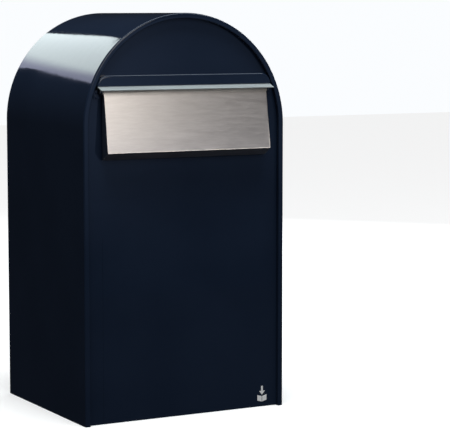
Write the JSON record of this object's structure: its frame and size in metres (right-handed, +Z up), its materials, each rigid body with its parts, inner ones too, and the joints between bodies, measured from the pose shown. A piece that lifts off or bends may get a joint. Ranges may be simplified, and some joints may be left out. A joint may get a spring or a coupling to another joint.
{
  "type": "book drop box",
  "caption": "Arched sheet-steel drop box with a hooded stainless slot flap in front and a bottom-hinged locked door at the back.",
  "frame": {"origin": "middle of the casing's footprint, on the surface that the box stands on", "axes": "+X to the right seen from the front, +Y from the flap side to the door side, +Z up"},
  "size_m": [0.332, 0.3049, 0.5999],
  "materials": {
    "navy_paint": "gloss powder coat, black-blue",
    "brushed_stainless": "brushed along the width",
    "satin_steel": "satin, pale",
    "bright_steel": "ground",
    "zinc_plate": "zinc plated",
    "lock_chrome": "polished",
    "black_plastic": "matt",
    "nylon": "natural nylon",
    "black_rubber": "matt",
    "silver_print": "silver print"
  },
  "bodies": {
    "cabinet": {"body_wrap": "navy_paint", "front_panel": "navy_paint", "rain_hood": "navy_paint", "rain_lip": "satin_steel", "slot_trim": "black_plastic", "rear_panel": "navy_paint", "floor_pan": "navy_paint", "floor_mat": "black_rubber", "book_chute": "navy_paint", "chute_rivets": "zinc_plate", "flap_bracket_left": "navy_paint", "flap_bracket_right": "navy_paint", "bracket_rivets": "navy_paint", "flap_bush_left": "nylon", "flap_bush_right": "nylon", "flap_bumpers": "black_rubber", "door_hinge_plate_left": "navy_paint", "door_hinge_plate_right": "navy_paint", "door_hinge_pin_left": "zinc_plate", "door_hinge_pin_right": "zinc_plate", "door_seal": "black_rubber", "strike_plate": "zinc_plate", "emblem": "silver_print"},
    "flap": {"flap_plate": "brushed_stainless", "flap_rod": "bright_steel", "rod_clips": "zinc_plate"},
    "door": {"door_panel": "navy_paint", "door_liner": "navy_paint", "door_bush_left": "nylon", "door_bush_right": "nylon", "lock_housing": "lock_chrome", "lock_washer": "zinc_plate", "lock_nut": "zinc_plate"},
    "lock": {"lock_plug": "lock_chrome", "lock_cam": "zinc_plate", "cam_washer": "zinc_plate", "cam_screw": "zinc_plate"}
  },
  "joints": [
    {"name": "flap_swing", "type": "hinge", "parent": "cabinet", "child": "flap", "pos_m": [0, -0.1424, 0.4865], "axis": [-1, 0, 0], "range_deg": [0, 65]},
    {"name": "door_swing", "type": "hinge", "parent": "cabinet", "child": "door", "pos_m": [0, 0.1305, 0.013], "axis": [-1, 0, 0], "range_deg": [0, 90]},
    {"name": "lock_turn", "type": "hinge", "parent": "door", "child": "lock", "pos_m": [0, 0.1375, 0.331], "axis": [0, -1, 0], "range_deg": [0, 90]}
  ]
}
